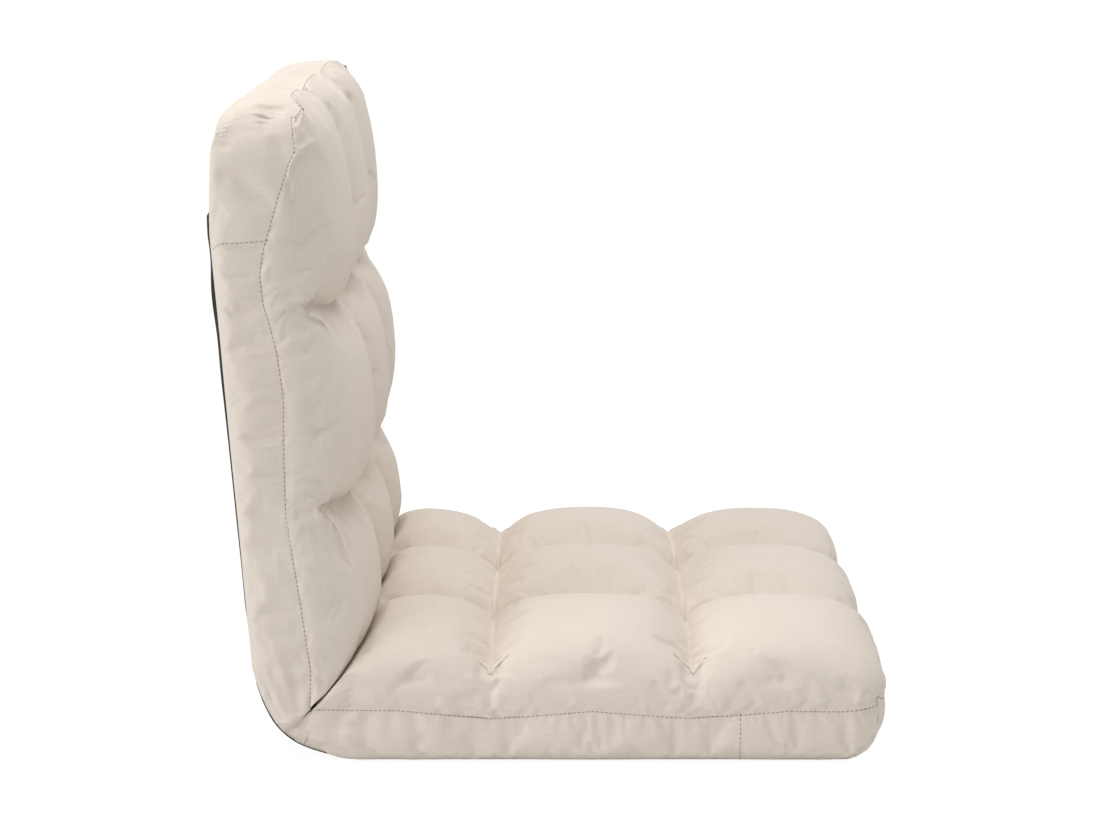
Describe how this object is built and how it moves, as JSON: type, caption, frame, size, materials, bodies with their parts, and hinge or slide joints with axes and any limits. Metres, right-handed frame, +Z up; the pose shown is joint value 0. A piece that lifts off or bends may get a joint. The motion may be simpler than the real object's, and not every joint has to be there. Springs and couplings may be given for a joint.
{
  "type": "folding floor chair",
  "caption": "Legless folding floor chair: tufted ivory seat and back pads on steel tube frames, joined by ratchet hinges so the back folds forward or reclines flat.",
  "frame": {"origin": "centre of the chair's plan at floor level, with the back upright", "axes": "+Z up, +X the way the sitter faces, +Y to the sitter's left"},
  "size_m": [0.6016, 0.535, 0.5995],
  "materials": {
    "ivory_linen_cloth": "matte",
    "black_cloth": "matte",
    "foam": "matte",
    "fibre_fill": "matte",
    "grey_backing_cloth": "matte",
    "frame_paint": "satin",
    "hinge_plate_steel": "satin",
    "ratchet_steel": "satin",
    "rivet_steel": "satin",
    "spring_wire": "satin",
    "washer_nylon": "matte"
  },
  "bodies": {
    "seat": {"heel_cloth": "black_cloth", "hinge_inner_plate_far": "hinge_plate_steel", "hinge_inner_plate_near": "hinge_plate_steel", "hinge_outer_plate_far": "hinge_plate_steel", "hinge_outer_plate_near": "hinge_plate_steel", "hinge_washers": "washer_nylon", "pawl_pins": "rivet_steel", "pawl_spring_far": "spring_wire", "pawl_spring_near": "spring_wire", "pivot_rivets": "rivet_steel", "seat_base_foam": "foam", "seat_bottom_panel": "black_cloth", "seat_cross_tubes": "frame_paint", "seat_fill_front": "fibre_fill", "seat_fill_middle": "fibre_fill", "seat_fill_rear": "fibre_fill", "seat_frame_tube": "frame_paint", "seat_quilt_backing": "grey_backing_cloth", "seat_quilted_cover": "ivory_linen_cloth", "seat_rivets": "rivet_steel", "seat_side_strip": "ivory_linen_cloth", "seat_support_cloth": "grey_backing_cloth", "seat_upper_foam": "foam", "spring_posts": "rivet_steel", "stop_pins": "rivet_steel"},
    "back": {"back_base_foam": "foam", "back_cross_tubes": "frame_paint", "back_fill_head": "fibre_fill", "back_fill_lower": "fibre_fill", "back_fill_middle": "fibre_fill", "back_frame_tube": "frame_paint", "back_quilt_backing": "grey_backing_cloth", "back_quilted_cover": "ivory_linen_cloth", "back_rear_panel": "black_cloth", "back_rivets": "rivet_steel", "back_side_strip": "ivory_linen_cloth", "back_support_cloth": "grey_backing_cloth", "back_upper_foam": "foam", "ratchet_arm_far": "ratchet_steel", "ratchet_arm_near": "ratchet_steel"},
    "pawl_near": {"pawl_near": "ratchet_steel"},
    "pawl_far": {"pawl_far": "ratchet_steel"}
  },
  "joints": [
    {"name": "back_recline", "type": "hinge", "parent": "seat", "child": "back", "pos_m": [-0.22721, 0, 0.043], "axis": [0, -1, 0], "range_deg": [-50, 86], "deforming": ["seat_quilted_cover", "back_quilted_cover", "seat_fill_rear", "back_fill_lower"]},
    {"name": "pawl_drop_near", "type": "hinge", "parent": "seat", "child": "pawl_near", "pos_m": [-0.20351, -0.225, 0.03965], "axis": [0, 1, 0], "range_deg": [0, 5.19], "stiffness_Nm_per_rad": 0.05, "deforming": ["pawl_spring_near"]},
    {"name": "pawl_drop_far", "type": "hinge", "parent": "seat", "child": "pawl_far", "pos_m": [-0.20351, 0.225, 0.03965], "axis": [0, 1, 0], "range_deg": [0, 5.19], "stiffness_Nm_per_rad": 0.05, "deforming": ["pawl_spring_far"]}
  ]
}
